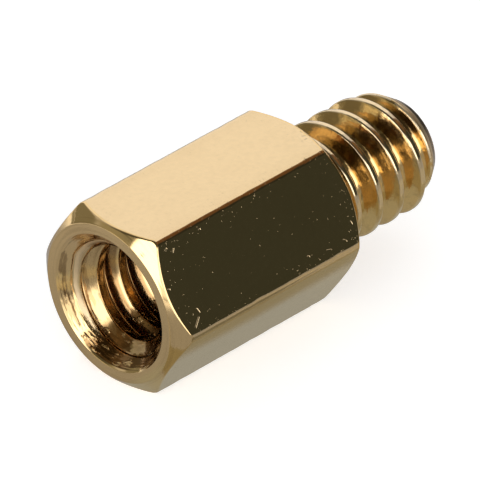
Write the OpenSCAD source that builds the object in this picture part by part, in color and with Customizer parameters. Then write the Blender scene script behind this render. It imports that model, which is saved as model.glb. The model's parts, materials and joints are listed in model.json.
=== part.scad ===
// Male-female hexagonal standoff, turned from one length of drawn brass bar.
// Its axis lies along X. The stud points to +X and the tapped hole opens to -X.
// The origin is on the axis, in the plane of the shoulder that the stud rises from.
// One flat of the hexagon faces down, as the part comes to rest on a bench.

/* [Hexagonal body] */
// Width of the bar across its flats (3/16 in)
across_flats = 4.7625; // [3.9:0.0125:8]
// Length of the body, from the mouth face to the shoulder
body_length = 6.85; // [4.5:0.05:40]
// Radius that drawing leaves along the six corners of the bar
corner_radius = 0.28; // [0.05:0.01:0.5]

/* [Turned ends of the body] */
// Depth that the mouth chamfer cuts in from the flats, at the mouth face
mouth_inset = 0.12; // [0.02:0.01:0.3]
// Depth that the shoulder chamfer cuts in from the flats, at the shoulder
shoulder_inset = 0.05; // [0.01:0.01:0.2]
// Angle of both chamfers, measured from the end faces
chamfer_angle = 40; // [15:1:50]

/* [Tapped hole] */
// Diameter of the hole at the crests of its thread (tap drill for 6-32)
hole_diameter = 2.7; // [1.6:0.05:3.25]
// Width of the flat ring left between the countersink and the mouth chamfer
mouth_land = 0.29; // [0.05:0.01:0.4]
// Included angle of the countersink
countersink_angle = 90; // [60:1:120]
// Included angle of the drill point
drill_angle = 118; // [90:1:140]
// Metal left between the drill point and the plane of the shoulder
end_wall = 1.05; // [0.4:0.05:1.5]

/* [Threaded stud] */
// Diameter of the stud over the crests of its thread (6-32)
stud_diameter = 3.45; // [2:0.05:4.15]
// Length of the stud, from the shoulder to its tip
stud_length = 4.05; // [2:0.05:12]
// Depth that the tip chamfer cuts in from the crests, at the tip face
tip_inset = 0.5; // [0.1:0.01:0.7]
// Length of the tip chamfer along the axis
tip_chamfer = 0.72; // [0.2:0.01:1.2]

/* [Hidden] */
brass = [0.80, 0.64, 0.36];
$fn = 96;

// Sides of the bar, and half the turn from one flat to the next
sides = 6;
half_turn = 180 / sides;
// How far a cutting shape runs past the face that it cuts
overshoot = 0.5;
// Each corner's rounding is this much too full, so that it meets its flats in clean lines
fullness = 0.00005;

flat_r = across_flats / 2;
corner_r = flat_r / cos(half_turn);
// Distance from the axis to the centre of a corner's rounding
rounding_r = corner_r - corner_radius / cos(half_turn);
// The turned ends are worked out to a radius that clears the bar's corners
turned_r = corner_r + overshoot;

mouth_z = -body_length;
mouth_rim_r = flat_r - mouth_inset;
shoulder_rim_r = flat_r - shoulder_inset;

hole_r = hole_diameter / 2;
countersink_r = mouth_rim_r - mouth_land;
countersink_end_z = mouth_z + (countersink_r - hole_r) / tan(countersink_angle / 2);
drill_tip_z = -end_wall;
drill_shoulder_z = drill_tip_z - hole_r / tan(drill_angle / 2);

stud_r = stud_diameter / 2;
tip_r = stud_r - tip_inset;
tip_chamfer_z = stud_length - tip_chamfer;

function direction(angle) = [cos(angle), sin(angle)];

// Section of the drawn bar: the corners of a hexagon, each rounded by a circle
module bar_section() {
    corners = [for (k = [0 : sides - 1]) half_turn * (2 * k + 1)];
    polygon([for (a = corners, side = [-1, 1])
        rounding_r * direction(a) + corner_radius * direction(a + side * half_turn)]);
    for (a = corners)
        translate(rounding_r * direction(a)) circle(r = corner_radius + fullness);
}

// What the lathe leaves of the bar: a chamfer runs round each end
module turned_ends() {
    rotate_extrude() polygon([
        [0, mouth_z],
        [mouth_rim_r, mouth_z],
        [turned_r, mouth_z + (turned_r - mouth_rim_r) * tan(chamfer_angle)],
        [turned_r, -(turned_r - shoulder_rim_r) * tan(chamfer_angle)],
        [shoulder_rim_r, 0],
        [0, 0],
    ]);
}

module body() {
    intersection() {
        translate([0, 0, mouth_z - overshoot])
            linear_extrude(body_length + 2 * overshoot) bar_section();
        turned_ends();
    }
}

// Stud, plain at the thread's crest diameter, with its tip chamfer
module stud() {
    rotate_extrude() polygon([
        [0, -end_wall / 2],
        [stud_r, -end_wall / 2],
        [stud_r, tip_chamfer_z],
        [tip_r, stud_length],
        [0, stud_length],
    ]);
}

// Blind hole: countersink, wall at the thread's crests and the drill's point
module tapped_hole() {
    rotate_extrude() polygon([
        [0, mouth_z - overshoot],
        [countersink_r + overshoot * tan(countersink_angle / 2), mouth_z - overshoot],
        [hole_r, countersink_end_z],
        [hole_r, drill_shoulder_z],
        [0, drill_tip_z],
    ]);
}

module standoff() {
    color(brass)
        rotate([0, 90, 0])
            difference() {
                union() {
                    body();
                    stud();
                }
                tapped_hole();
            }
}

standoff();
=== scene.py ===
import json
import math
from collections import namedtuple

import bmesh
import bpy
from mathutils import Matrix, Vector, noise


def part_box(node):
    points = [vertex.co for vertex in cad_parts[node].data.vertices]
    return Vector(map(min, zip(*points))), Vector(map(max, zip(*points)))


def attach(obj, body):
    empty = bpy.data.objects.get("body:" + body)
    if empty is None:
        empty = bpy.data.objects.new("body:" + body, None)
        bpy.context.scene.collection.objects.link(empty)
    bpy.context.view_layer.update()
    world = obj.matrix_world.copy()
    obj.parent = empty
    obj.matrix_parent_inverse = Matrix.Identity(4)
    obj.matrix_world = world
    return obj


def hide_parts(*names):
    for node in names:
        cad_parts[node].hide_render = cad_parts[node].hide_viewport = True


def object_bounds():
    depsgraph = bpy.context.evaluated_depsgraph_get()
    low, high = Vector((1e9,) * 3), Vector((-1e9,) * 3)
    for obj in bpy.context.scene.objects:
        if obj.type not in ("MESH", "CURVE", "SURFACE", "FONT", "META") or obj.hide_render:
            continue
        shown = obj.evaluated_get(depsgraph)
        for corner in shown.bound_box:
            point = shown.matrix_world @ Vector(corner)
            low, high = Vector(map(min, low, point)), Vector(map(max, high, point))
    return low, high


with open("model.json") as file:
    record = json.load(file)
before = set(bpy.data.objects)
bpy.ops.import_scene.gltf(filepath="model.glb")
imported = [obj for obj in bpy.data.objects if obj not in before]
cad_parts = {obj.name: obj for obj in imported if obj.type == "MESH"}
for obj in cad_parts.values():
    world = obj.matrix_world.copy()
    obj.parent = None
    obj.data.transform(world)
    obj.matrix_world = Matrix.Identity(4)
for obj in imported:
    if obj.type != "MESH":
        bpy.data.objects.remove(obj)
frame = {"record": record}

cad_low, cad_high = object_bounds()


# ---- The drawn bar ----
# The stock is hexagonal brass bar, drawn cold through a die. The die leaves six bright flats
# with faint lines along them, and a small rounding on each of the six corners.

MM = 0.001
bar_low, bar_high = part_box("standoff")
MOUTH_X, SHOULDER_X, TIP_X = bar_low.x, 0.0, bar_high.x
FLAT_REACH = bar_high.z
CORNER_ROUNDING = 0.28 * MM
SIDES = 6
SIDE_TURN = 2 * math.pi / SIDES
HALF_TURN = SIDE_TURN / 2
ROUNDING_CENTRE = (FLAT_REACH - CORNER_ROUNDING) / math.cos(HALF_TURN)
ROUNDING_TURN = math.atan2(ROUNDING_CENTRE * math.sin(HALF_TURN), FLAT_REACH)


def bar_reach(angle):
    """Distance from the axis to the bar's surface. Corners are at whole side turns from angle 0."""
    off_flat = abs(angle % SIDE_TURN - HALF_TURN)
    if off_flat < ROUNDING_TURN:
        return FLAT_REACH / math.cos(off_flat)
    off_corner = HALF_TURN - off_flat
    across = ROUNDING_CENTRE * math.sin(off_corner)
    return ROUNDING_CENTRE * math.cos(off_corner) + math.sqrt(CORNER_ROUNDING**2 - across**2)


def bar_angles(flat_steps=17, rounding_steps=5, border=math.radians(0.4)):
    """Angles all round the bar, closer together on the roundings than on the flats."""
    rounding = HALF_TURN - ROUNDING_TURN
    start, span = rounding + border, SIDE_TURN - 2 * (rounding + border)
    side = [rounding * k / rounding_steps for k in range(rounding_steps + 1)]
    side += [start + span * k / flat_steps for k in range(flat_steps + 1)]
    side += [SIDE_TURN - rounding * k / rounding_steps for k in range(rounding_steps, 0, -1)]
    return [turn * SIDE_TURN + angle for turn in range(SIDES) for angle in side]


class Skin:
    """The part's surface: rings of points round the axis, and faces from each ring to the next."""

    def __init__(self, angles):
        self.angles, self.points, self.faces, self.finishes = angles, [], [], []

    def point(self, x, reach, angle):
        self.points.append((x, reach * math.cos(angle), reach * math.sin(angle)))
        return len(self.points) - 1

    def ring(self, places):
        """A ring through one (x, reach) place at each angle."""
        return [self.point(x, reach, angle) for (x, reach), angle in zip(places, self.angles)]

    def cell(self, corners, finish):
        """A face on four corners, or on three where two of them have run together."""
        corners = list(dict.fromkeys(corners))
        if len(corners) > 2:
            self.faces.append(corners)
            self.finishes.append(finish)

    def join(self, rings, finish):
        """Faces between each ring and the one after it."""
        for one, two in zip(rings, rings[1:]):
            for k in range(len(one)):
                self.cell((one[k - 1], one[k], two[k], two[k - 1]), finish)

    def run(self, profile):
        """Rings along a run of the part. `profile` gives the run's list of (x, reach) at an angle."""
        return [self.ring(places) for places in zip(*(profile(angle) for angle in self.angles))]


class Wire:
    """A shader socket. Arithmetic on wires adds Math nodes, and `node` adds any other node."""

    def __init__(self, tree, socket=None):
        self.tree, self.socket = tree, socket

    def node(self, kind, settings=None, inlets=None, outlet=0):
        """Adds a node: first its settings, then the values or wires of its sockets."""
        made = self.tree.nodes.new("ShaderNode" + kind)
        for name, value in (settings or {}).items():
            setattr(made, name, value)
        for name, value in (inlets or {}).items():
            if isinstance(value, Wire):
                self.tree.links.new(value.socket, made.inputs[name])
            else:
                made.inputs[name].default_value = value
        return Wire(self.tree, made.outputs[outlet] if made.outputs else None)

    def outlets(self):
        """Wires from every outlet of this wire's node."""
        return [Wire(self.tree, socket) for socket in self.socket.node.outputs]

    def math(self, operation, *others):
        """A Math node on this wire and the other wires or numbers."""
        return self.node("Math", {"operation": operation}, dict(enumerate((self, *others))))

    def __add__(self, other):
        return self.math("ADD", other)

    def __mul__(self, other):
        return self.math("MULTIPLY", other)

    def __sub__(self, other):
        return self.math("SUBTRACT", other)

    def __truediv__(self, other):
        return self.math("DIVIDE", other)

    def __rsub__(self, other):
        return self.node("Math", {"operation": "SUBTRACT"}, {0: other, 1: self})

    __radd__, __rmul__ = __add__, __mul__

    def step(self, low, high):
        """0 below `low` and 1 above `high`, with an eased slope between them."""
        return self.node("MapRange", {"interpolation_type": "SMOOTHSTEP"}, {
            "Value": self, "From Min": low, "From Max": high})

    def between(self, start, full, fade, end):
        """1 from `full` to `fade`, with an eased slope up from `start` and another down to `end`."""
        return self.step(start, full) * (1 - self.step(fade, end))

    def vector(self, y, z):
        """A vector from this wire and two more values."""
        return self.node("CombineXYZ", None, {0: self, 1: y, 2: z})

    def cloudy(self, scale, detail=2.0):
        """Soft noise at this place, from about -0.3 to 0.3, with `scale` clouds to a unit."""
        return self.node("TexNoise", None, {"Vector": self, "Scale": scale, "Detail": detail}) - 0.5


def blank(name, kind=bpy.data.materials):
    """An empty node tree in a new material or world, as (owner, wire into its nodes)."""
    owner = kind.new(name)
    owner.use_nodes = True
    owner.node_tree.nodes.clear()
    return owner, Wire(owner.node_tree)


Axes = namedtuple("Axes", "place x y z reach turn round_y round_z")
BRASS = (0.84, 0.625, 0.355, 1)
CUT_BRASS = (0.83, 0.585, 0.285, 1)
OILED_BRASS = (0.80, 0.545, 0.235, 1)
# Dark brass for dirt, oil and painted shade; pale brass for wear and painted highlights
STAIN_AND_SHADE_BRASS = (0.16, 0.070, 0.018, 1)
RUBBED_AND_HIGHLIGHT_BRASS = (0.92, 0.80, 0.61, 1)
MICROMETRE = 1e-6

# The Mix node's own sockets for colours
SHARE_IN, ONE_IN, OTHER_IN, COLOUR_OUT = 0, 6, 7, 2


def mixed(tree, share, one, other):
    """A colour that goes from `one` to `other` as `share` goes from 0 to 1."""
    inlets = {SHARE_IN: share, ONE_IN: one, OTHER_IN: other}
    return tree.node("Mix", {"data_type": "RGBA"}, inlets, COLOUR_OUT)


def brass(name, bare, marks):
    """Brass of a `bare` colour. `marks` gives its relief in micrometres, its roughness, how far it
    is darkened by dirt, oil and painted shade, and how far it is made paler by wear and painted
    highlights at a place. Places are in millimetres from the shoulder, and turns about the axis
    in degrees."""
    material, tree = blank(name)
    metres = tree.node("TexCoord", None, None, "Object")
    place = tree.node("VectorMath", {"operation": "SCALE"}, {0: metres, "Scale": 1 / MM})
    x, y, z = tree.node("SeparateXYZ", None, {0: place}).outlets()
    reach = (y * y + z * z).math("SQRT")
    turn = z.math("ARCTAN2", y) * math.degrees(1)
    round_y, round_z = y / reach, z / reach
    relief, dull, stain_and_shade, rubbed_and_highlight = marks(Axes(place, x, y, z, reach, turn, round_y, round_z))
    bump = tree.node("Bump", None, {"Height": relief, "Distance": MICROMETRE})
    # The dark colour is mixed in for dirt, oil and painted shade, the pale one for wear and painted
    # highlights
    colour = mixed(tree, rubbed_and_highlight, mixed(tree, stain_and_shade, bare, STAIN_AND_SHADE_BRASS), RUBBED_AND_HIGHLIGHT_BRASS)
    shader = tree.node("BsdfPrincipled", None, {
        "Base Color": colour, "Metallic": 1.0, "Roughness": dull, "Normal": bump})
    tree.node("OutputMaterial", None, {"Surface": shader})
    return material


def ringed(axes, count, drift, detail=2.0):
    """Rings round the axis, `count` to a millimetre, which come and go `drift` times in a radian."""
    at = (axes.x * count).vector(axes.reach * count, axes.round_y * drift)
    inlets = {"Vector": at, "W": axes.round_z * drift, "Scale": 1.0, "Detail": detail}
    return axes.x.node("TexNoise", {"noise_dimensions": "4D"}, inlets) - 0.5


def facing(turn, middle, full, gone):
    """1 where a turn is within `full` degrees of `middle`, easing to 0 at `gone` degrees from it."""
    return 1 - (turn - middle).math("ABSOLUTE").step(full, gone)


def off_corner(turn):
    """Degrees from a place to the nearest corner of the bar."""
    side = math.degrees(SIDE_TURN)
    return ((turn * (1 / side) + 0.5).math("FRACT") - 0.5).math("ABSOLUTE") * side


# Knocks from other parts in the bin: the flat's turn, then (x, across the flat, length, lean).
# The ones in the top flat hold dirt. A line of painted shade lies along that flat's corner,
# standing in for the dark reflection on its rounding.
TOP_FLAT, SIDE_FLAT = 90, 150
PAINTED_LINE_CORNER = 121
KNOCK_DEPTH, KNOCK_DIRT = 5, 0.35
KNOCK_EDGE = (0.005, 0.035)
KNOCKS = {
    SIDE_FLAT: (
        (-6.00, 0.74, 0.20, 70), (-6.16, 1.00, 0.40, 136), (-6.64, -0.12, 0.12, 20),
        (-5.03, -1.12, 0.09, 0), (-6.27, -1.08, 0.14, 150), (-6.06, -0.97, 0.16, 130),
        (-2.04, 0.92, 0.10, 30), (-1.34, 1.04, 0.22, 15), (-0.74, 1.02, 0.16, 40),
        (-0.34, 0.70, 0.12, 80),
    ),
    TOP_FLAT: (
        (-0.12, 0.40, 0.20, 70), (-0.22, 0.52, 0.16, 25), (-0.10, 0.70, 0.20, 110),
        (-0.30, 0.68, 0.12, 0), (-0.18, 0.86, 0.12, 50),
    ),
}


def knocked(axes, flat, x, across, length, lean):
    """A short groove across a flat: 1 in its middle line and 0 beside it."""
    flat = math.radians(flat)
    along_x = axes.x - x
    along_flat = axes.z * math.cos(flat) - axes.y * math.sin(flat) - across
    lean = math.radians(lean)
    along = (along_x * math.cos(lean) + along_flat * math.sin(lean)).math("ABSOLUTE")
    aside = (along_flat * math.cos(lean) - along_x * math.sin(lean)).math("ABSOLUTE")
    return (1 - along.step(length * 0.3, length * 0.5)) * (1 - aside.step(*KNOCK_EDGE))


def drawn_marks(axes):
    """Lines of the die along the bar, with scuffs and specks that crowd towards its corners
    and ends, a thin uneven discolouring, and a line of painted shade along one corner."""
    grain = (axes.x * 0.3).vector(axes.y * 14, axes.z * 14).cloudy(1, detail=3.0)
    waves = axes.place.cloudy(1.6, detail=1.0)
    near_corner = 1 - off_corner(axes.turn).step(1.5, 12)
    near_end = (axes.x + 0.9).step(0.0, 0.6)
    near_mouth = (1 - (axes.x - MOUTH_X / MM).step(0.3, 1.2)) * 0.75
    crowd = near_corner.math("MAXIMUM", near_end).math("MAXIMUM", near_mouth)
    patchy = axes.place.cloudy(3.2)
    crowd = crowd * (patchy * 1.6 + 0.65).math("MAXIMUM", 0.0)
    specks = (axes.place.cloudy(17, detail=1.0) + crowd * 0.11).step(0.27, 0.33)
    scuffs = (axes.place.cloudy(7, detail=4.0) + crowd * 0.12).step(0.20, 0.32)
    relief = grain * 0.14 + waves * 1.2 - specks * 2.6 - scuffs * 1.1
    dull = 0.07 + grain * 0.02 + crowd * 0.035 + scuffs * 0.07
    mottle = axes.place.cloudy(7, detail=3.0).step(-0.2, 0.3) * 0.05
    stain_and_shade = (axes.place.cloudy(0.8) + 0.1).step(0, 0.5) * 0.04 + near_corner * 0.03 + mottle
    for flat, knocks in KNOCKS.items():
        on_flat = facing(axes.turn, flat, 28, 32)
        for knock in knocks:
            groove = knocked(axes, flat, *knock) * on_flat
            relief = relief - groove * KNOCK_DEPTH
            if flat == TOP_FLAT:
                stain_and_shade = stain_and_shade + groove * KNOCK_DIRT
    # Painted shade: a dark line on the rounding of the corner between the top and side flats
    corner_shade = 1 - ((axes.turn - PAINTED_LINE_CORNER).math("ABSOLUTE") + patchy).step(0.7, 1.5)
    stain_and_shade = stain_and_shade + corner_shade * 0.4
    return relief, dull, stain_and_shade, 0.0


drawn_brass = brass("drawn_brass", BRASS, drawn_marks)
skin = Skin(bar_angles())
DRAWN, TURNED, CUT, BORED = range(4)

# Wear lowers the corners a little, in two layers of waves along their length. Each layer has its
# share, waves to a millimetre and place in the noise. Each dent has its x, turn, size and depth.
CORNER_WEAR = 0.016 * MM
WORN_TURN = math.radians(3.5)
WEAR_WAVES = ((1.0, 2.4, 0), (0.5, 6.0, 5))
NEXT_CORNER = 9.0
DENTS = (
    (-0.10 * MM, math.radians(103), 0.17 * MM, 0.030 * MM),
    (-0.22 * MM, math.radians(112), 0.10 * MM, 0.014 * MM),
)


def worn(place, angle):
    """A place on the bar's outside after wear."""
    x, reach = place
    off = HALF_TURN - abs(angle % SIDE_TURN - HALF_TURN)
    corner = round(angle / SIDE_TURN) % SIDES * NEXT_CORNER
    rough = sum(share * noise.noise(Vector((x / MM * waves, corner, layer)))
                for share, waves, layer in WEAR_WAVES)
    loss = CORNER_WEAR * max(0.2 + rough, 0) * math.exp(-((off / WORN_TURN) ** 2))
    for dent_x, dent_angle, size, depth in DENTS:
        away = math.hypot(x - dent_x, (angle - dent_angle) * reach) / size
        loss += depth * math.exp(-(away**4))
    return Vector((x, reach - loss))


# ---- The turned ends ----
# Both ends of the hexagon are faced square and chamfered in a lathe, so that each chamfer
# is a cone that cuts the corners away in curves. The mouth keeps a flat ring round the hole.

MOUTH_RIM = FLAT_REACH - 0.12 * MM
SHOULDER_RIM = FLAT_REACH - 0.05 * MM
CHAMFER_SLOPE = math.tan(math.radians(40))
SINK_RIM = MOUTH_RIM - 0.29 * MM
SINK_EDGE = 0.05 * MM
STUD_REACH = frame["record"]["mounts"][0]["dims"]["r_mm"] * MM
STUD_FILLET = 0.06 * MM
BURNISH = 0.075 * MM
CRISP = 0.035 * MM
HOLD = 0.03 * MM
HOLD_SHARE = 0.15
HELD_SHARE, FREE_SHARE = 0.35, 0.48
DRAWN_STEPS = 60


def arc(before, corner, after, radius, steps, most):
    """Points on an arc that rounds a corner and meets both of its straight sides smoothly.
    `most` is the share of each side that the arc may take."""
    one, two = before - corner, after - corner
    half_opening = one.angle(two) / 2
    reach = min(radius / math.tan(half_opening), most * one.length, most * two.length)
    middle = (one.normalized() + two.normalized()).normalized() * (reach / math.cos(half_opening))
    start, end = one.normalized() * reach - middle, two.normalized() * reach - middle
    swing = start.angle(end)
    blend = [(math.sin((1 - k / steps) * swing), math.sin(k / steps * swing)) for k in range(steps + 1)]
    return [corner + middle + (start * a + end * b) / math.sin(swing) for a, b in blend]


def held(end, side_end, hold):
    """A point close to a rounding's end, on the straight side that leads away from it."""
    side = side_end - end
    return end + side.normalized() * min(hold, HOLD_SHARE * side.length)


def softened(corners, radii, steps=4, hold=HOLD):
    """Straight runs through (x, reach) corners, with each inner corner rounded to its own radius.
    A held point on each side of a rounding keeps the straight runs flat."""
    corners = [Vector(corner) for corner in corners]
    line = [corners[0]]
    for before, corner, after, radius in zip(corners, corners[1:], corners[2:], radii):
        rounding = arc(before, corner, after, radius, steps, HELD_SHARE if hold else FREE_SHARE)
        if hold:
            line.append(held(rounding[0], before, hold))
        line += rounding
        if hold:
            line.append(held(rounding[-1], after, hold))
    return line + [corners[-1]]


# Each corner of the outline has five points on its rounding and one held on each side. The
# drawn flat runs from the third rounding to the fourth.
CORNER_POINTS = 7
DRAWN_START = 3 * CORNER_POINTS
DRAWN_END = DRAWN_START + DRAWN_STEPS


def body_profile(angle):
    """The body's outline at an angle, from the countersink's edge over the flat to the stud."""
    reach = bar_reach(angle)
    mouth_chamfer = MOUTH_X + (reach - MOUTH_RIM) * CHAMFER_SLOPE
    shoulder_chamfer = SHOULDER_X - (reach - SHOULDER_RIM) * CHAMFER_SLOPE
    line = softened([
        (MOUTH_X + SINK_EDGE, SINK_RIM - SINK_EDGE),
        (MOUTH_X, SINK_RIM),
        (MOUTH_X, MOUTH_RIM),
        (mouth_chamfer, reach),
        (shoulder_chamfer, reach),
        (SHOULDER_X, SHOULDER_RIM),
        (SHOULDER_X, STUD_REACH),
        (SHOULDER_X + STUD_FILLET, STUD_REACH),
    ], (CRISP, CRISP, BURNISH, BURNISH, CRISP, STUD_FILLET))
    start, end = line[DRAWN_START], line[DRAWN_START + 1]
    flat = [start.lerp(end, k / DRAWN_STEPS) for k in range(1, DRAWN_STEPS)]
    line[DRAWN_START + 1:DRAWN_START + 1] = flat
    edge = 2 * CORNER_POINTS
    return line[:edge] + [worn(place, angle) for place in line[edge:-edge]] + line[-edge:]


def turned_marks(axes):
    """Fine rings from the lathe tool, which come and go round the part."""
    fine = ringed(axes, count=15, drift=1.6)
    middling = ringed(axes, count=9, drift=1.3, detail=1.0)
    broad = ringed(axes, count=4, drift=1.0, detail=1.0)
    waves = axes.place.cloudy(1.8, detail=1.0)
    relief = fine * 1.6 + middling * 3.0 + broad * 2.5 + waves * 2.0
    return relief, 0.085 + fine * 0.05, (broad + fine + 0.05).step(0, 0.5) * 0.2, 0.0


turned_brass = brass("turned_brass", CUT_BRASS, turned_marks)
body = skin.run(body_profile)
skin.join(body[:DRAWN_START + 1], TURNED)
skin.join(body[DRAWN_START:DRAWN_END + 1], DRAWN)
skin.join(body[DRAWN_END:], TURNED)


# ---- The threads ----
# Stud and hole carry right-hand screw threads of the same pitch, cut by a die and a tap. Their
# crests keep a narrow flat, and their roots are rounded by the wear of the tool.

PITCH = 0.79375 * MM


def thread_form(crest, flank, root_radius, edge_radius, longest=0.08 * MM):
    """One pitch of a thread as (share of the pitch, depth under the crest), from a crest's middle.
    `crest` is the crest's flat as a share of the pitch, and `flank` the flank's lean in degrees."""
    deep = PITCH * (1 - crest) / 2 / math.tan(math.radians(flank))
    half = crest * PITCH / 2
    corners = [(0, 0), (half, 0), (PITCH / 2, deep), (PITCH - half, 0), (PITCH, 0)]
    line = softened(corners, (edge_radius, root_radius, edge_radius), hold=None)
    form = [line[0]]
    for one, two in zip(line, line[1:]):
        steps = math.ceil((two - one).length / longest)
        form += [one.lerp(two, k / steps) for k in range(1, steps + 1)]
    return [(place.x / PITCH, place.y) for place in form]


def screw(form, start_ring, end_ring, start, end, crest_x, reach_at, finish):
    """Faces of a threaded run between two plain rings, with edges that follow the thread.
    `crest_x` is where a crest crosses angle 0, and `reach_at` gives the reach at x for a depth."""
    close = 0.004 * MM
    stations = form[:-1]
    lead = len(stations)
    first = math.floor((start - crest_x) / PITCH) - 1
    turns = math.ceil((end - crest_x) / PITCH) + 1 - first
    rows = [(crest_x + (first + turn + share) * PITCH, depth)
            for turn in range(turns) for share, depth in stations]
    columns = []
    for k, angle in enumerate(skin.angles):
        climb = PITCH * angle / (2 * math.pi)
        column = []
        for row_x, depth in rows:
            x = row_x + climb
            if x < start + close:
                column.append(start_ring[k])
            elif x > end - close:
                column.append(end_ring[k])
            else:
                column.append(skin.point(x, reach_at(x, depth), angle))
        columns.append(column)
    columns.append(columns[0][lead:] + [end_ring[0]] * lead)
    for one, two in zip(columns, columns[1:]):
        for k in range(len(rows) - 1):
            skin.cell((one[k], one[k + 1], two[k + 1], two[k]), finish)


def smooth_least(one, two, reach):
    """The lesser of two lengths, rounded over where they cross."""
    return min(one, two) - max(reach - abs(one - two), 0) ** 2 / (4 * reach)


def eased(share):
    """0 to 1 with level ends."""
    share = min(max(share, 0), 1)
    return share * share * (3 - 2 * share)


# ---- The threaded stud ----
# The stud is turned down from the same bar, chamfered at its tip and then threaded with a die.
# The die starts at the tip and runs out just before it meets the shoulder.

STUD_THREAD = thread_form(crest=0.18, flank=30, root_radius=0.13 * MM, edge_radius=0.07 * MM)
STUD_CREST_TURN = math.radians(226)
STUD_CREST_X = 0.02 * MM - PITCH * STUD_CREST_TURN / (2 * math.pi)
TIP_REACH = STUD_REACH - 0.5 * MM
TIP_CHAMFER = 0.72 * MM
TIP_ROUNDING = 0.11 * MM
STUD_THREAD_START, STUD_THREAD_FULL = 0.06 * MM, 0.32 * MM
TIP_FACE = 0.03 * MM
TIP_RINGS = (0.6, 0.2)

# Marks on the stud: two sides of painted shade by their turns, and two places by their x in mm
FRONT_SHADE_SIDE, SHADED_SIDE = 120, 68
LAST_TURN, CONE_END = (3.1, 3.3), (3.80, 3.88)


def stud_reach(x, depth):
    """The stud's reach: plain at the shoulder, then threaded, then within the tip's cone."""
    cut = eased((x - STUD_THREAD_START) / (STUD_THREAD_FULL - STUD_THREAD_START))
    cone = TIP_REACH + (TIP_X - x) * (STUD_REACH - TIP_REACH) / TIP_CHAMFER
    return smooth_least(STUD_REACH - depth * cut, cone, TIP_ROUNDING)


def cut_marks(axes):
    """Streaks that the die's teeth leave along the thread, over uneven, slightly torn flanks.
    Painted highlights make the crests paler, with a broken pale line on the tip's ridge and pale
    patches on its cone; the rest of the cone is painted dark, standing in for its dark reflection.
    Oil in blotches darkens the flanks, and painted shade darkens them more on two sides."""
    streaks = ringed(axes, count=13, drift=1.6)
    chatter = ringed(axes, count=6, drift=7.0)
    torn = axes.place.cloudy(2.4)
    lumps = axes.place.cloudy(6.5)
    relief = streaks * 3.0 + torn * 9.0 + lumps * 4.0 + chatter * 4.0
    crest_reach = STUD_REACH / MM
    cone_reach = (TIP_X / MM - axes.x) * ((STUD_REACH - TIP_REACH) / TIP_CHAMFER) + TIP_REACH / MM
    under = cone_reach - axes.reach
    cone = 1 - under.step(0.008, 0.024)
    # Painted highlights: a broken pale line on the ridge where the thread meets the tip's cone, pale
    # patches on that cone next to the thread, and paler crests
    ridge_highlight = under.between(0.004, 0.02, 0.05, 0.10) * (chatter + 0.1).step(-0.1, 0.1)
    crest = axes.reach.step(crest_reach - 0.05, crest_reach - 0.01) * (1 - cone) * 0.45
    cone_highlight = cone * (1 - axes.x.step(*CONE_END))
    cone_highlight = cone_highlight * (chatter * 0.5 + lumps * 0.4 + 0.15).step(-0.2, 0.2) * 0.9
    bright = ridge_highlight.math("MAXIMUM", cone_highlight)
    # Painted shade on two sides of the stud, whose flanks look darker from how light falls there. The
    # first side also takes more of the oil blotches, most of all at the last turn.
    front_shade = facing(axes.turn + lumps * 40, FRONT_SHADE_SIDE, 8, 26)
    shaded = facing(axes.turn + lumps * 30, SHADED_SIDE, 6, 18)
    blotches = torn * 0.7 + lumps * 0.6 + chatter * 0.5 + 0.02
    blotches = (blotches + front_shade * (0.2 + axes.x.step(*LAST_TURN) * 0.4)).step(0, 0.3)
    stain_and_shade = (blotches * (0.2 + front_shade * 0.5)).math("MAXIMUM", shaded * 0.32)
    # Painted shade: the tip's cone is darkened, standing in for its dark reflection, except under the
    # painted highlights
    stain_and_shade = stain_and_shade.math("MAXIMUM", cone * 0.8) * (1 - bright)
    rubbed_and_highlight = crest.math("MAXIMUM", ridge_highlight * 0.7).math("MAXIMUM", cone_highlight * 0.3)
    return relief, 0.14 + streaks * 0.08 + bright * 0.22, stain_and_shade, rubbed_and_highlight


die_cut_brass = brass("die_cut_brass", OILED_BRASS, cut_marks)
tip_line = softened([
    (TIP_X - TIP_FACE, stud_reach(TIP_X - TIP_FACE, 0)),
    (TIP_X, TIP_REACH),
    (TIP_X, 0),
], (CRISP,))[:-1]
tip_line += [Vector((TIP_X, TIP_REACH * share)) for share in TIP_RINGS]
tip = skin.run(lambda angle: tip_line)
tip_pole = skin.point(TIP_X, 0, 0)
skin.join(tip + [[tip_pole] * len(skin.angles)], TURNED)
screw(
    STUD_THREAD, body[-1], tip[0], SHOULDER_X + STUD_FILLET, TIP_X - TIP_FACE,
    STUD_CREST_X, stud_reach, CUT)


# ---- The tapped hole ----
# A blind hole is drilled in from the other end, countersunk with a right-angled cutter and
# tapped. The tap's thread runs out above the bottom, which keeps the cone of the drill's point.

BORE_REACH = frame["record"]["mounts"][1]["dims"]["r_mm"] * MM
BORE_END = SHOULDER_X - 1.05 * MM
POINT_ANGLE = math.radians(118)
POINT_SLOPE = math.tan(POINT_ANGLE / 2)
POINT_RING = 0.2
BORE_WALL_END = BORE_END - BORE_REACH / POINT_SLOPE
BORE_THREAD = thread_form(
    crest=0.31, flank=36, root_radius=0.05 * MM, edge_radius=0.08 * MM, longest=0.05 * MM)
BORE_CREST_X = MOUTH_X + 0.254 * MM
BORE_THREAD_END, BORE_RUNOUT = BORE_WALL_END - 0.7 * MM, 0.9 * MM
SINK_LIP = 0.025 * MM

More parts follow.
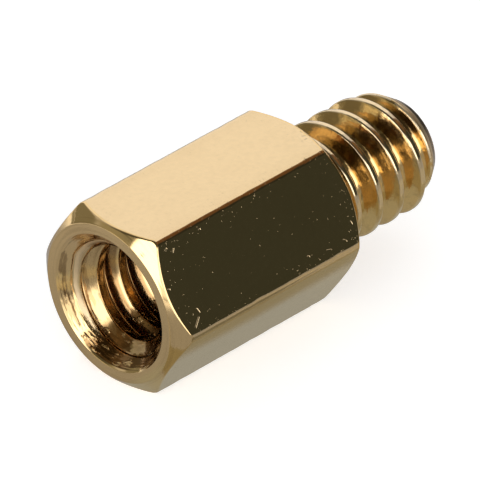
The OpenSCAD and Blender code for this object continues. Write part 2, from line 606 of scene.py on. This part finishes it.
# Marks in the hole: sides as (y, z) from its axis, and depths in mm from the mouth
LIT_SIDE, LOW_SIDE, SMEARED_SIDE = (0.9, 0.44), (-0.14, -0.99), (0.6, -0.8)
LOW_PATCH_SIDE, UPPER_DARK_SIDE, LIP_SIDE = (0.12, -0.99), (0.34, 0.94), (-0.36, -0.93)
TORN_RING, FIRST_TURN = (0.27, 0.30, 0.36, 0.48), (0.33, 0.45, 1.0, 1.2)
THREADED, DEEP = (0.45, 0.65), (0.8, 1.0)
LIP_START, LIP_END = (0.44, 0.48), (0.68, 0.74)


def bore_reach(x, depth):
    """The hole's reach: the thread, opened out by the countersink, with a run-out at the bottom."""
    cut = eased((BORE_THREAD_END - x) / BORE_RUNOUT)
    sink = SINK_RIM - (x - MOUTH_X)
    return -smooth_least(-BORE_REACH - depth * cut, -sink, SINK_LIP)


def towards(axes, side):
    """How squarely a place lies on one (y, z) side of the axis: 1 in that side's middle."""
    return axes.round_y * side[0] + axes.round_z * side[1]


def bored_marks(axes):
    """Rings left by the countersink's cutter, one torn by the tap, and the tap's finer streaks.
    A film of oil lies on them. The hole is darker on its low side, darkest in one patch there
    among torn chips, and painted shade darkens it deeper in and in the thread's roots. A smeared
    lip of brass stands in the thread's first turn."""
    depth = axes.x - MOUTH_X / MM
    threaded, deep = depth.step(*THREADED), depth.step(*DEEP)
    first_turn = depth.between(*FIRST_TURN)
    broad = ringed(axes, count=5, drift=0.8, detail=1.0)
    fine = ringed(axes, count=16, drift=1.7)
    ragged = ringed(axes, count=8, drift=5.0, detail=3.0)
    torn_depth = depth + axes.place.cloudy(1.2, detail=1.0) * 0.12
    torn = torn_depth.between(*TORN_RING) * towards(axes, LIT_SIDE).step(-0.1, 0.4)
    band = torn * torn_depth.step(0.31, 0.34)
    low = (towards(axes, LOW_SIDE) + axes.place.cloudy(2.4) * 0.2).step(0.70, 0.85)
    chips = ragged.step(0.06, 0.16) * low
    smeared = towards(axes, SMEARED_SIDE).step(0.4, 0.9) * (1 - threaded)
    relief = broad * (34 - threaded * 30) + fine * (6.0 - threaded * 4.5) - torn * 12
    relief = relief + axes.place.cloudy(4.0) * 2.0 + chips * 9 + ragged * (5 + smeared * 12)

    film = (0.02 - broad - fine - ragged).step(0.0, 0.2) * (0.52 - deep * 0.42 + smeared * 0.4)
    # Darker on the hole's low side, and darkest in one patch there
    low_patch = (towards(axes, LOW_PATCH_SIDE) + ragged * 0.2).step(0.93, 0.97) * (1 - deep)
    oil = low * (0.34 - broad - fine).step(0.0, 0.25) * (0.88 - chips * 0.75)
    oil = oil.math("MAXIMUM", low_patch * (0.97 - chips * 0.6))
    # Painted shade: darker deeper in the hole, and most of all in the thread's roots
    sunk = (axes.reach - BORE_REACH / MM).step(0.03, 0.10)
    recess_shade = depth.step(0.5, 1.2) * 0.10 + depth.step(0.75, 1.0) * sunk * 0.6
    # Darker on the upper side of the first turn
    upper_darkening = towards(axes, UPPER_DARK_SIDE).step(0.80, 0.95) * first_turn * 0.75
    amber = axes.round_y.step(0.2, 0.7) * first_turn * 0.25
    lip = (towards(axes, LIP_SIDE) + ragged * 0.07).step(0.972, 0.985) * (1 - depth.step(*LIP_END))
    lip = lip * (depth + axes.place.cloudy(5) * 0.1).step(*LIP_START)
    stain_and_shade = oil.math("MAXIMUM", film * (1 - band)).math("MAXIMUM", recess_shade)
    stain_and_shade = stain_and_shade.math("MAXIMUM", upper_darkening).math("MAXIMUM", amber) * (1 - lip) + lip * (0.28 - ragged * 1.5)
    dull = 0.09 + fine * 0.06 + band * 0.4 + threaded * 0.06 + lip * 0.25
    return relief, dull, stain_and_shade, (band * 0.4).math("MAXIMUM", lip * 0.1)


tapped_brass = brass("tapped_brass", CUT_BRASS, bored_marks)
bottom_line = softened([
    (BORE_THREAD_END, BORE_REACH),
    (BORE_WALL_END, BORE_REACH),
    (BORE_END, 0),
], (BURNISH,))[:-1]
near_reach = BORE_REACH * POINT_RING
bottom_line.append(Vector((BORE_END - near_reach / POINT_SLOPE, near_reach)))
bottom = skin.run(lambda angle: bottom_line)
drill_point = skin.point(BORE_END, 0, 0)
skin.join(bottom + [[drill_point] * len(skin.angles)], BORED)
screw(
    BORE_THREAD, body[0], bottom[0], MOUTH_X + SINK_EDGE, BORE_THREAD_END,
    BORE_CREST_X, bore_reach, BORED)


# ---- The finished standoff ----
# Bar, ends, hole and stud are one solid piece of brass, so their faces make one closed skin.
# It stands in for the plain solid of the frame, in the same place.

solid = bpy.data.meshes.new("turned_standoff")
solid.from_pydata(skin.points, [], skin.faces)
solid.polygons.foreach_set("material_index", skin.finishes)
surface = bmesh.new()
surface.from_mesh(solid)
bmesh.ops.recalc_face_normals(surface, faces=surface.faces)
surface.to_mesh(solid)
surface.free()
solid.shade_smooth()
for finish in (drawn_brass, turned_brass, die_cut_brass, tapped_brass):
    solid.materials.append(finish)

standoff = bpy.data.objects.new("turned_standoff", solid)
bpy.context.collection.objects.link(standoff)
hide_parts("standoff")
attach(standoff, "root")


# ---- The table and the light tent ----
# The part lies on white paper in a tent of glowing cloth panels. Flags of dark and grey card
# fill the gaps. Glowing cards on the paper show only in the part's reflections: they are
# painted shadow and painted light on the paper near the part.


def seen(tree):
    """1 for the rays that show the background: from the camera, off metal and through glass."""
    rays = ("Is Camera Ray", "Is Glossy Ray", "Is Transmission Ray")
    direct, glossy, through = (tree.node("LightPath", None, None, ray) for ray in rays)
    return direct.math("MAXIMUM", glossy).math("MAXIMUM", through)


def stage_piece(name, points, faces, material):
    """A piece of the stage from points and faces, with one material."""
    mesh = bpy.data.meshes.new(name)
    mesh.from_pydata(points, [], faces)
    mesh.materials.append(material)
    made = bpy.data.objects.new(name, mesh)
    bpy.context.collection.objects.link(made)
    return made


def sheet(name, reach, height, material):
    """A level square that reaches `reach` from the middle of the table."""
    corners = [(x * reach, y * reach, height) for x, y in ((-1, -1), (1, -1), (1, 1), (-1, 1))]
    return stage_piece(name, corners, [(0, 1, 2, 3)], material)


FLOOR_REACH = 3
PAPER_DIFFUSE, PAPER_GLOW = 0.75, 0.56
ROOM_GLOW = 0.5

paper, tree = blank("white_paper")
bare = tree.node("BsdfDiffuse", None, {"Color": (PAPER_DIFFUSE,) * 3 + (1,)})
glow = tree.node("Emission", None, {"Strength": seen(tree) * PAPER_GLOW})
tree.node("OutputMaterial", None, {"Surface": tree.node("AddShader", None, {0: bare, 1: glow})})
sheet("floor", FLOOR_REACH, cad_low.z, paper)

world, tree = blank("studio", bpy.data.worlds)
shown = seen(tree)
sky = tree.node("Background", None, {"Strength": shown + (1 - shown) * ROOM_GLOW})
tree.node("OutputWorld", None, {"Surface": sky})
bpy.context.scene.world = world

PANEL_COLUMNS, PANEL_ROWS = 36, 12


def glowing(tree, mask, glow, tint):
    """A finish that glows where the mask is 1 and is clear where it is 0."""
    clear = tree.node("BsdfTransparent")
    bright = tree.node("Emission", None, {"Color": tint, "Strength": glow})
    shader = tree.node("MixShader", None, {0: mask, 1: clear, 2: bright})
    tree.node("OutputMaterial", None, {"Surface": shader})


def panel(name, glow, tint, reach, turns, rises, fade, lights):
    """A bowed panel round the part, between two turns about it and two rises above the table,
    in degrees. Its glow fades out over its border. A panel that doesn't light the part shows
    only in its reflections."""
    cloth, tree = blank(name)
    x, y, z = tree.node("SeparateXYZ", None, {0: tree.node("NewGeometry")}).outlets()
    middle, half = math.radians(sum(turns) / 2), (turns[1] - turns[0]) / 2
    ahead = x * math.cos(middle) + y * math.sin(middle)
    aside = y * math.cos(middle) - x * math.sin(middle)
    turn = aside.math("ARCTAN2", ahead).math("ABSOLUTE") * math.degrees(1)
    rise = (z * (1 / reach)).math("ARCSINE") * math.degrees(1)
    mask = (half - turn).step(0, fade) * (rise - rises[0]).step(0, fade)
    glowing(tree, mask * (rises[1] - rise).step(0, fade), glow, tint)
    points = []
    for row in range(PANEL_ROWS + 1):
        up_by = math.radians(rises[0] + row * (rises[1] - rises[0]) / PANEL_ROWS)
        level_reach, height = reach * math.cos(up_by), reach * math.sin(up_by)
        for column in range(PANEL_COLUMNS + 1):
            round_by = math.radians(turns[0] + column * (turns[1] - turns[0]) / PANEL_COLUMNS)
            points.append((level_reach * math.cos(round_by), level_reach * math.sin(round_by), height))
    wide = PANEL_COLUMNS + 1
    corners = [row * wide + column for row in range(PANEL_ROWS) for column in range(PANEL_COLUMNS)]
    made = stage_piece(name, points, [(c, c + 1, c + wide + 1, c + wide) for c in corners], cloth)
    made.visible_camera = False
    if not lights:
        made.visible_diffuse = False
        made.visible_shadow = False


WHITE, COOL, SHADE = (1, 1, 1, 1), (0.96, 1.02, 0.98, 1), (1, 0.96, 0.72, 1)
OLIVE, CREAM, STRAW = (0.86, 0.94, 0.68, 1), (1, 0.92, 0.62, 1), (1, 0.90, 0.62, 1)
AMBER = (1, 0.55, 0.25, 1)

# Each panel's name, glow, tint, distance in metres, turns, rises, fade, and whether it lights the
# part. A nearer panel covers the ones behind it.
panel("low_wall", 0.23, SHADE, 0.59, (88, 146), (-4, 21), 4, False)
panel("front_glint", 1.1, WHITE, 0.595, (-76, -60), (22, 36), 4, False)
panel("front_cloth", 2.3, WHITE, 0.60, (-132, -73), (-3, 41), 6, True)
panel("left_cloth", 2.9, WHITE, 0.60, (-194, -154), (-3, 40), 4, True)
panel("low_glow", 0.85, STRAW, 0.605, (134, 166), (0, 25), 8, False)
panel("front_middle", 1.42, WHITE, 0.61, (-170, -122), (-3, 41), 9, True)
panel("back_corner", 1.05, WHITE, 0.615, (-4, 50), (30, 61), 3, True)
panel("back_cloth", 1.05, WHITE, 0.62, (14, 100), (-3, 59), 9, True)
panel("front_edge", 0.2, WHITE, 0.63, (-78, -60), (-3, 52), 4, False)
panel("side_cloth", 0.55, WHITE, 0.64, (84, 132), (12, 58), 12, True)
panel("high_cloth", 0.34, SHADE, 0.65, (45, 118), (52, 76), 8, True)
panel("amber_edge", 0.28, AMBER, 0.66, (2, 30), (-4, 48), 8, False)
panel("amber_corner", 0.22, AMBER, 0.67, (-48, 12), (38, 62), 8, False)
panel("table_edge", 0.055, OLIVE, 0.07, (-64, 20), (-1.9, 1.5), 1, False)
panel("near_side", 0.24, SHADE, 0.069, (84, 182), (-1.95, 1.5), 1, False)
panel("near_front", 0.35, SHADE, 0.068, (-104, -62), (-1.95, 0.4), 1, False)
panel("dark_flag", 0.052, OLIVE, 0.70, (-64, 20), (-4, 50), 4, False)
panel("grey_wall", 0.33, SHADE, 0.72, (84, 182), (-4, 37), 6, False)
panel("dark_dome", 0.09, SHADE, 0.80, (-180, 180), (-4, 90), 0.01, False)


def card(name, glow, tint, x, y, wide, deep, soft, lift):
    """A glowing oval card on the table, in mm, which shows only in the part's reflections. A dim
    card is painted shade on the paper and a bright one painted light. Its glow fades out over
    the share `soft` of its reach."""
    paper, tree = blank(name)
    spot = tree.node("SeparateXYZ", None, {0: tree.node("NewGeometry")}).outlets()
    aside, ahead = (spot[0] / MM - x) / wide, (spot[1] / MM - y) / deep
    glowing(tree, 1 - (aside * aside + ahead * ahead).math("SQRT").step(1 - soft, 1), glow, tint)
    made = sheet(name, (max(abs(x), abs(y)) + max(wide, deep)) * MM, cad_low.z + lift * MM, paper)
    made.visible_camera = False
    made.visible_diffuse = False
    made.visible_shadow = False


# Each card's name, glow, tint, middle, half-width and half-depth, soft share, and lift in mm. A
# higher card covers the ones under it.
# Painted shadow: the paper round the part, darkened as if in its shadow
card("floor_shade_card", 0.35, WHITE, 30, -25, 80, 80, 0.44, 0.02)
# Painted light: a lighter patch of paper in front of the stud
card("floor_light_card", 0.60, STRAW, 5, -7, 8.5, 8.5, 0.6, 0.03)
# Painted shade: a dark patch of paper far beyond the stud, towards the back
card("far_shade_card", 0.08, WHITE, 27, 7, 15, 15, 0.35, 0.04)
# Painted light: a pale straw patch of paper beyond the mouth
card("left_light_card", 0.66, STRAW, -11.5, -2, 3, 3, 0.6, 0.03)
# Painted shade: a cool strip of paper under the part's near side
card("cool_strip", 0.38, COOL, -2.5, -1.2, 12, 0.9, 0.3, 0.025)
# Painted light: a brass-tinted glow on the paper in front of the part, as if bounced off it
card("bounce_light_strip", 0.29, CREAM, -1.6, -2.85, 12, 1.06, 0.2, 0.03)
# Painted shade: a darker strip of paper in front of the part
card("front_shadow_strip", 0.20, SHADE, -3.2, -5.4, 4.7, 1.9, 0.5, 0.035)


# ---- The camera ----
# The camera stands well back with a long lens, so that the part keeps its proportions. It
# looks down at the mouth and at the side that lies nearest to it.

AZIMUTH, ELEVATION, ROLL = (math.radians(turn) for turn in (-45.2, 33.86, -0.24))
CAMERA_DISTANCE = 260 * MM
LENS = 748.8
AIM_DEPTH, AIM_RIGHT, AIM_UP = 3 * MM, 1.284 * MM, 0.493 * MM
NEAR_CLIP, FAR_CLIP = 10 * MM, 20
back = Vector((
    math.sin(AZIMUTH) * math.cos(ELEVATION),
    -math.cos(AZIMUTH) * math.cos(ELEVATION),
    math.sin(ELEVATION),
))
level = Vector((math.cos(AZIMUTH), math.sin(AZIMUTH), 0))
right = level * math.cos(ROLL) - back.cross(level) * math.sin(ROLL)
up = back.cross(right)
aim = Vector((MOUTH_X + AIM_DEPTH, 0, 0)) + AIM_RIGHT * right + AIM_UP * up

camera = bpy.data.objects.new("camera", bpy.data.cameras.new("camera"))
bpy.context.collection.objects.link(camera)
camera.data.lens = LENS
camera.data.clip_start = NEAR_CLIP
camera.data.clip_end = FAR_CLIP
facing = Matrix((right, up, back)).transposed().to_4x4()
camera.matrix_world = Matrix.Translation(aim + back * CAMERA_DISTANCE) @ facing
bpy.context.scene.camera = camera
bpy.context.scene.view_settings.view_transform = "Standard"
